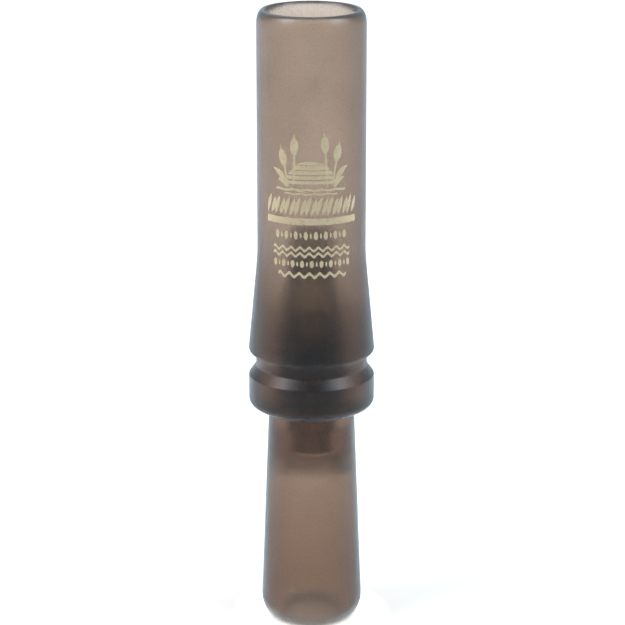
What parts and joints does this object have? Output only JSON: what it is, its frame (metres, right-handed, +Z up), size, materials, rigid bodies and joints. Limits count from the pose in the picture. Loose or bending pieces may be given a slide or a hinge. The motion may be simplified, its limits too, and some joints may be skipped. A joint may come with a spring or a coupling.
{
  "type": "duck call",
  "caption": "Reed duck call: smoke translucent barrel with lanyard groove, plug-in exhaust tube, and an inner tone board with reed and wedge.",
  "frame": {"origin": "centre of the flat exhaust rim that the call stands on", "axes": "+Z up the barrel towards the mouth end; the reed side faces -Y, which is the front; +X to the right"},
  "size_m": [0.026, 0.026, 0.1298],
  "materials": {
    "smoke_plastic": "frosted translucent smoke",
    "dark_smoke_plastic": "translucent dark smoke, satin",
    "reed_film": "clear film, slightly milky",
    "black_rubber": "matte black"
  },
  "bodies": {
    "insert": {"exhaust_tube": "smoke_plastic", "tone_board": "dark_smoke_plastic"},
    "seal_rings": {"o_ring_lower": "black_rubber", "o_ring_upper": "black_rubber"},
    "barrel": {"barrel": "smoke_plastic"},
    "wedge": {"wedge": "black_rubber", "reed_tail": "reed_film"},
    "reed": {"reed_blade": "reed_film"}
  },
  "joints": [
    {"name": "barrel_twist", "type": "hinge", "parent": "insert", "child": "seal_rings", "pos_m": [0, 0, 0.0503], "axis": [0, 0, 1], "continuous": true},
    {"name": "barrel_pull", "type": "slide", "parent": "seal_rings", "child": "barrel", "axis": [0, 0, 1], "range_m": [0, 0.045]},
    {"name": "wedge_slide", "type": "slide", "parent": "insert", "child": "wedge", "axis": [0, 0, 1], "range_m": [0, 0.01]},
    {"name": "reed_flex", "type": "hinge", "parent": "wedge", "child": "reed", "pos_m": [0, -0.002, 0.061], "axis": [1, 0, 0], "range_deg": [-1.8, 1], "stiffness_Nm_per_rad": 0.016}
  ]
}
